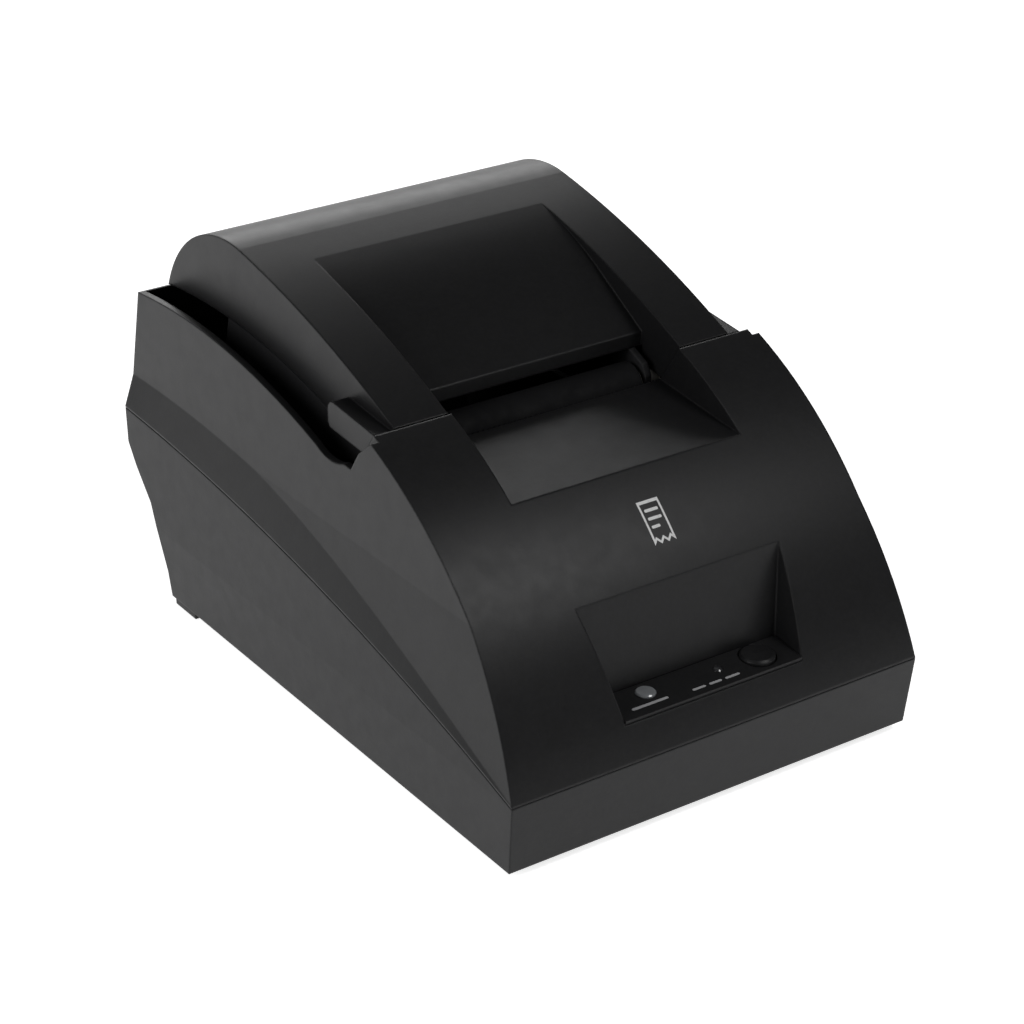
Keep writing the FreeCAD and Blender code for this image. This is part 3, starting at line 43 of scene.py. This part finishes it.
class Shader:
    """A node material under construction: short calls for the nodes that every surface shares."""

    def __init__(self, name):
        self.material = bpy.data.materials.new(name)
        self.material.use_nodes = True
        self.tree = self.material.node_tree
        self.bsdf = self.tree.nodes["Principled BSDF"]
        self.coords = self.node("ShaderNodeTexCoord").outputs["Object"]

    def node(self, kind, **settings):
        made = self.tree.nodes.new(kind)
        for key, value in settings.items():
            setattr(made, key, value)
        return made

    def link(self, source, target):
        self.tree.links.new(source, target)

    def noise(self, scale, detail=2.0, stretch=(1, 1, 1)):
        """Fractal noise in the row's own metres, optionally stretched along an axis."""
        mapping = self.node("ShaderNodeMapping")
        mapping.inputs["Scale"].default_value = stretch
        self.link(self.coords, mapping.inputs["Vector"])
        texture = self.node("ShaderNodeTexNoise")
        texture.inputs["Scale"].default_value = scale
        texture.inputs["Detail"].default_value = detail
        self.link(mapping.outputs["Vector"], texture.inputs["Vector"])
        return texture.outputs["Fac"]

    def span(self, source, low, high, from_low=0.3, from_high=0.7):
        """Maps a value onto a range."""
        made = self.node("ShaderNodeMapRange")
        made.inputs["From Min"].default_value = from_low
        made.inputs["From Max"].default_value = from_high
        made.inputs["To Min"].default_value = low
        made.inputs["To Max"].default_value = high
        self.link(source, made.inputs["Value"])
        return made.outputs["Result"]

    def blend(self, factor, first, second):
        """Colour between two colours; each is a tuple or a socket."""
        made = self.node("ShaderNodeMix", data_type="RGBA")
        self.link(factor, made.inputs["Factor"])
        for socket, value in ((made.inputs[6], first), (made.inputs[7], second)):
            if isinstance(value, tuple):
                socket.default_value = (*value, 1)
            else:
                self.link(value, socket)
        return made.outputs[2]

    def multiply(self, first, second):
        made = self.node("ShaderNodeMath", operation="MULTIPLY")
        self.link(first, made.inputs[0])
        self.link(second, made.inputs[1])
        return made.outputs[0]

    def edge(self, radius):
        """Softened normal at edges, and a mask that is 1 along them."""
        soft = self.node("ShaderNodeBevel", samples=6)
        soft.inputs["Radius"].default_value = radius
        true = self.node("ShaderNodeNewGeometry").outputs["Normal"]
        dot = self.node("ShaderNodeVectorMath", operation="DOT_PRODUCT")
        self.link(soft.outputs["Normal"], dot.inputs[0])
        self.link(true, dot.inputs[1])
        return soft.outputs["Normal"], self.span(dot.outputs["Value"], 1.0, 0.0, 0.90, 0.995)

    def bump(self, height, distance, normal=None, strength=1.0):
        made = self.node("ShaderNodeBump")
        made.inputs["Distance"].default_value = distance
        made.inputs["Strength"].default_value = strength
        self.link(height, made.inputs["Height"])
        if normal is not None:
            self.link(normal, made.inputs["Normal"])
        return made.outputs["Normal"]


def shade(colour, factor):
    return tuple(min(1.0, c * factor) for c in colour)


def moulded(name, colour, rough=0.42, grain=0.012, wear=1.6, radius=0.7, grain_scale=2600, specular=0.2):
    """Injection-moulded plastic: faint mottling, a spark-eroded grain, uneven gloss and polished edges."""
    s = Shader(name)
    normal, edges = s.edge(radius * MM)
    mottle = s.blend(s.span(s.noise(38, 4), 0, 1), shade(colour, 0.95), shade(colour, 1.05))
    speck = s.blend(s.span(s.noise(900, 2), 0, 1, 0.35, 0.75), mottle, shade(colour, 1.25))
    worn = s.multiply(edges, s.span(s.noise(160, 3), 0.35, 1.0))
    s.link(s.blend(worn, speck, shade(colour, wear)), s.bsdf.inputs["Base Color"])
    s.link(s.span(s.noise(240, 3), rough - 0.02, rough + 0.025), s.bsdf.inputs["Roughness"])
    s.link(s.bump(s.noise(grain_scale, 2), grain * MM, normal), s.bsdf.inputs["Normal"])
    s.bsdf.inputs["Specular IOR Level"].default_value = specular
    return s.material


def metal(name, colour, rough=0.3, stretch=(1, 14, 14), radius=0.12):
    """Worked metal: tool marks along one axis, fingerprints in the gloss and bright edges."""
    s = Shader(name)
    normal, edges = s.edge(radius * MM)
    lines = s.noise(420, 3, stretch)
    tint = s.blend(s.span(lines, 0, 1), shade(colour, 0.82), shade(colour, 1.1))
    s.link(s.blend(edges, tint, shade(colour, 1.35)), s.bsdf.inputs["Base Color"])
    s.link(s.span(s.noise(90, 4), rough - 0.08, rough + 0.12), s.bsdf.inputs["Roughness"])
    s.link(s.bump(lines, 0.006 * MM, normal), s.bsdf.inputs["Normal"])
    s.bsdf.inputs["Metallic"].default_value = 1.0
    return s.material


def rubbery(name, colour, rough=0.75):
    """Matte rubber with a ground surface and dust in its pores."""
    s = Shader(name)
    normal, edges = s.edge(0.25 * MM)
    dust = s.span(s.noise(60, 5), 0, 1, 0.45, 0.75)
    s.link(s.blend(dust, colour, shade(colour, 1.7)), s.bsdf.inputs["Base Color"])
    s.link(s.span(s.noise(300, 2), rough - 0.08, rough + 0.08), s.bsdf.inputs["Roughness"])
    s.link(s.bump(s.noise(1500, 3), 0.02 * MM, normal), s.bsdf.inputs["Normal"])
    s.bsdf.inputs["Specular IOR Level"].default_value = 0.12
    return s.material


def lens(name, colour, glow):
    """Cast light guide: clear skin over a diffusing body, its tone clouded at random."""
    s = Shader(name)
    normal, edges = s.edge(0.2 * MM)
    cloud = s.span(s.noise(500, 3), 0, 1)
    s.link(s.blend(cloud, shade(colour, 0.9), shade(colour, 1.08)), s.bsdf.inputs["Base Color"])
    s.link(s.span(s.noise(240, 2), 0.12, 0.22), s.bsdf.inputs["Roughness"])
    s.link(s.bump(s.noise(800, 2), 0.004 * MM, normal), s.bsdf.inputs["Normal"])
    s.bsdf.inputs["Coat Weight"].default_value = 0.6
    s.bsdf.inputs["Emission Color"].default_value = (*colour, 1)
    s.bsdf.inputs["Emission Strength"].default_value = glow
    return s.material


def board(name, colour):
    """Solder mask over copper: tracks show as slightly lighter, raised lines."""
    s = Shader(name)
    bricks = s.node("ShaderNodeTexBrick")
    bricks.inputs["Scale"].default_value = 160
    bricks.inputs["Mortar Size"].default_value = 0.03
    bricks.inputs["Color1"].default_value = (*shade(colour, 0.8), 1)
    bricks.inputs["Color2"].default_value = (*shade(colour, 0.95), 1)
    bricks.inputs["Mortar"].default_value = (*shade(colour, 1.8), 1)
    s.link(s.coords, bricks.inputs["Vector"])
    s.link(s.blend(s.span(s.noise(70, 3), 0, 0.5), bricks.outputs["Color"], shade(colour, 1.2)),
           s.bsdf.inputs["Base Color"])
    s.link(s.span(s.noise(110, 2), 0.22, 0.34), s.bsdf.inputs["Roughness"])
    s.link(s.bump(bricks.outputs["Fac"], 0.03 * MM), s.bsdf.inputs["Normal"])
    return s.material


def printed(name, colour):
    """Pad-printed ink: a matt film with pinholes."""
    s = Shader(name)
    s.link(s.blend(s.span(s.noise(1400, 2), 0, 1, 0.55, 0.8), colour, shade(colour, 0.75)),
           s.bsdf.inputs["Base Color"])
    s.link(s.span(s.noise(500, 2), 0.5, 0.65), s.bsdf.inputs["Roughness"])
    s.link(s.bump(s.noise(2200, 2), 0.008 * MM), s.bsdf.inputs["Normal"])
    return s.material


BLACK = (0.008, 0.008, 0.0085)
MATERIALS = {
    "upper_case": moulded("satin_upper", BLACK, 0.40),
    "lower_case": moulded("satin_lower", shade(BLACK, 1.15), 0.44),
    "cover": moulded("satin_cover", BLACK, 0.38),
    "cover_liner": moulded("matte_liner", (0.016, 0.016, 0.017), 0.6),
    "control_panel": moulded("satin_panel", shade(BLACK, 1.1), 0.45, radius=0.25),
    "feed_button": moulded("satin_button", shade(BLACK, 1.2), 0.38, radius=0.4, wear=1.9),
    "power_lens": lens("clear_lens", (0.20, 0.21, 0.22), 0.0),
    "error_lens": lens("dark_lens", (0.02, 0.02, 0.022), 0.0),
    "circuit_board": board("solder_mask", (0.015, 0.12, 0.05)),
    "led_chips": lens("led_epoxy", (0.75, 0.74, 0.62), 0.1),
    "switch_plastic": moulded("switch_black", (0.022, 0.022, 0.022), 0.5, radius=0.2),
    "internal_plastic": moulded("internal_grey", (0.035, 0.035, 0.037), 0.6),
    "platen_rubber": rubbery("ground_rubber", (0.005, 0.005, 0.0055)),
    "steel": metal("ground_steel", (0.55, 0.55, 0.56), 0.22),
    "bush_plastic": moulded("acetal_bush", (0.55, 0.54, 0.49), 0.45, wear=1.15, radius=0.15),
    "gear_plastic": moulded("acetal_gear", (0.62, 0.61, 0.56), 0.45, wear=1.15, radius=0.1),
    "brass": metal("brass", (0.68, 0.5, 0.22), 0.28),
    "sheet_metal": metal("zinc_sheet", (0.5, 0.51, 0.52), 0.38, (1, 1, 1)),
    "motor_can": metal("motor_can", (0.42, 0.42, 0.43), 0.3, (14, 1, 1)),
    "ceramic": moulded("glazed_ceramic", (0.72, 0.7, 0.62), 0.2, wear=1.1, radius=0.15),
    "aluminium": metal("extruded_aluminium", (0.66, 0.67, 0.69), 0.35, (1, 10, 10)),
    "spring_steel": metal("spring_wire", (0.45, 0.45, 0.46), 0.3, radius=0.05),
    "blade_steel": metal("blackened_blade", (0.035, 0.035, 0.037), 0.45, (1, 1, 1), 0.1),
    "chip_plastic": moulded("chip_epoxy", (0.02, 0.02, 0.02), 0.55, radius=0.15),
    "socket_metal": metal("tinned_shell", (0.6, 0.6, 0.58), 0.35, (1, 1, 1)),
    "socket_plastic": moulded("socket_black", (0.018, 0.018, 0.018), 0.5, radius=0.2),
    "rocker_plastic": moulded("polished_rocker", (0.02, 0.02, 0.02), 0.2, grain=0.004, radius=0.35),
    "foot_rubber": rubbery("foot_rubber", (0.014, 0.014, 0.014), 0.85),
    "screw_steel": metal("zinc_screw", (0.5, 0.5, 0.48), 0.35),
}
PRINT_WHITE = printed("white_ink", (0.62, 0.62, 0.62))
PRINT_GREY = printed("grey_ink", (0.34, 0.34, 0.35))

SLOT_OF = {entry["node"]: entry["material_slot"] for entry in frame["record"]["subparts"]}
for name, obj in NODES.items():
    obj.data.materials.clear()
    obj.data.materials.append(MATERIALS[SLOT_OF[name]])


# ------------------------------------------------------------------ printed marks and trim

FILM_LIFT, FILM_DROP = 0.03, 0.02


def bars_mesh(name, outlines, lift, drop, onto):
    """Thin printed film: outlines in mm, laid on a surface by `onto`, with a top, an underside and edges."""
    vertices, faces = [], []
    for outline in outlines:
        start, count = len(vertices), len(outline)
        for height in (lift, -drop):
            vertices += [tuple(onto(*corner, height)) for corner in outline]
        faces.append(tuple(range(start, start + count)))
        faces.append(tuple(range(start + 2 * count - 1, start + count - 1, -1)))
        for i in range(count):
            j = (i + 1) % count
            faces.append((start + j, start + i, start + count + i, start + count + j))
    mesh = bpy.data.meshes.new(name)
    mesh.from_pydata(vertices, [], faces)
    obj = bpy.data.objects.new(name, mesh)
    bpy.context.scene.collection.objects.link(obj)
    return obj


def pill(x0, x1, y0, y1, steps=4):
    """Outline of a bar with rounded ends."""
    radius = (y1 - y0) / 2
    middle = (y0 + y1) / 2
    corners = []
    for centre, first in ((x1 - radius, -90), (x0 + radius, 90)):
        for i in range(steps + 1):
            turn = math.radians(first + 180 * i / steps)
            corners.append((centre + radius * math.cos(turn), middle + radius * math.sin(turn)))
    return corners


def on_panel(x, y, height):
    """Point on the control panel straight below (x, y), raised by a height."""
    _, place, _, _ = NODES["control_panel"].ray_cast(Vector((x, y, 60)) * MM, Vector((0, 0, -1)))
    return place + Vector((0, 0, height)) * MM


def on_front(x, z, height):
    """Point on the front curve straight behind (x, z), raised along its normal."""
    _, place, normal, _ = NODES["upper_case"].ray_cast(Vector((x, -200, z)) * MM, Vector((0, 1, 0)))
    return place + normal * height * MM


def finish_mark(obj, material):
    """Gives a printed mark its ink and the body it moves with."""
    obj.data.materials.append(material)
    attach(obj, "housing")


captions = bars_mesh("panel_captions", [
    pill(-21.6, -11.4, -82.4, -81.6), pill(-5.0, -1.2, -83.0, -82.3), pill(-0.2, 3.4, -83.0, -82.3),
    pill(4.4, 8.6, -83.0, -82.3),
], FILM_LIFT, FILM_DROP, on_panel)
finish_mark(captions, PRINT_GREY)

ICON_X, ICON_LOW, ICON_TOP = 0.0, 59.0, 66.5
ICON_HALF, ICON_LINE = 3.0, 0.5
EDGE_LOW = ICON_LOW + 0.4
EDGE_STEPS = 12
teeth = [(ICON_X - ICON_HALF + i, ICON_LOW + (0.8 if i % 2 else 0.0)) for i in range(7)]
TEXT_LINES = ((64.6, 1.9), (63.2, 1.9), (61.8, 0.5))
lines = [pill(ICON_X - 1.9, ICON_X + width, z, z + ICON_LINE) for z, width in TEXT_LINES]
ICON_INNER = ICON_HALF - ICON_LINE
ICON_TOP_LOW = ICON_TOP - ICON_LINE
borders = [[
    (ICON_X - ICON_INNER, ICON_TOP_LOW), (ICON_X + ICON_INNER, ICON_TOP_LOW),
    (ICON_X + ICON_INNER, ICON_TOP), (ICON_X - ICON_INNER, ICON_TOP),
]]
EDGE_STEP = (ICON_TOP - EDGE_LOW) / EDGE_STEPS
for i in range(EDGE_STEPS):
    z0 = EDGE_LOW + EDGE_STEP * i
    z1 = EDGE_LOW + EDGE_STEP * (i + 1)
    for x0 in (ICON_X - ICON_HALF, ICON_X + ICON_HALF - ICON_LINE):
        borders.append([(x0, z0), (x0 + ICON_LINE, z0), (x0 + ICON_LINE, z1), (x0, z1)])
for (x0, z0), (x1, z1) in zip(teeth, teeth[1:]):
    borders.append([(x0, z0), (x1, z1), (x1, z1 + 0.55), (x0, z0 + 0.55)])
receipt_mark = bars_mesh("receipt_mark", lines + borders, FILM_LIFT, FILM_DROP, on_front)
finish_mark(receipt_mark, PRINT_WHITE)


# ------------------------------------------------------------------ camera, lights, floor

CAMERA_AT = Vector((-0.3486, -0.5087, 0.3536))
AZIMUTH, ELEVATION, ROLL = math.radians(-34.6), math.radians(27.0), math.radians(0.08)
back = Vector((math.sin(AZIMUTH) * math.cos(ELEVATION), -math.cos(AZIMUTH) * math.cos(ELEVATION),
               math.sin(ELEVATION)))
camera = bpy.data.objects.new("camera", bpy.data.cameras.new("camera"))
camera.data.lens = 98.45
camera.data.sensor_width = 36
camera.rotation_mode = "QUATERNION"
camera.rotation_quaternion = (-back).to_track_quat("-Z", "Y") @ Matrix.Rotation(ROLL, 4, "Z").to_quaternion()
camera.location = CAMERA_AT
camera.data.clip_start, camera.data.clip_end = 0.01, 20
bpy.context.scene.collection.objects.link(camera)
bpy.context.scene.camera = camera


def area_light(name, at, size, energy, aim=(0, 0, 0.05)):
    """Soft box looking at a point."""
    data = bpy.data.lights.new(name, "AREA")
    data.shape = "RECTANGLE"
    data.size, data.size_y = size
    data.energy = energy
    light = bpy.data.objects.new(name, data)
    light.location = at
    light.rotation_mode = "QUATERNION"
    light.rotation_quaternion = (Vector(aim) - Vector(at)).to_track_quat("-Z", "Y")
    bpy.context.scene.collection.objects.link(light)


area_light("left_box", (-0.9, -0.05, 0.45), (0.6, 0.6), 4.3)
area_light("back_box", (0.35, 0.95, 0.50), (0.9, 0.5), 4.8)
area_light("front_box", (0.17, -0.31, 0.43), (0.15, 0.20), 0.9, (-0.02, -0.07, 0.06))

world = bpy.data.worlds.new("studio")
world.use_nodes = True
world.node_tree.nodes["Background"].inputs["Color"].default_value = (1, 1, 1, 1)
world.node_tree.nodes["Background"].inputs["Strength"].default_value = 0.08
bpy.context.scene.world = world
bpy.context.scene.view_settings.view_transform = "Standard"

mesh = bpy.data.meshes.new("floor")
half = 6.0
mesh.from_pydata([(-half, -half, 0), (half, -half, 0), (half, half, 0), (-half, half, 0)], [], [(0, 1, 2, 3)])
floor = bpy.data.objects.new("floor", mesh)
paper = Shader("floor_paper")
paper.link(paper.blend(paper.span(paper.noise(3, 2), 0, 1), (0.86, 0.86, 0.86), (0.88, 0.88, 0.88)),
           paper.bsdf.inputs["Base Color"])
paper.bsdf.inputs["Roughness"].default_value = 0.9
paper.bsdf.inputs["Emission Color"].default_value = (1, 1, 1, 1)
paper.bsdf.inputs["Emission Strength"].default_value = 0.8
mesh.materials.append(paper.material)
bpy.context.scene.collection.objects.link(floor)
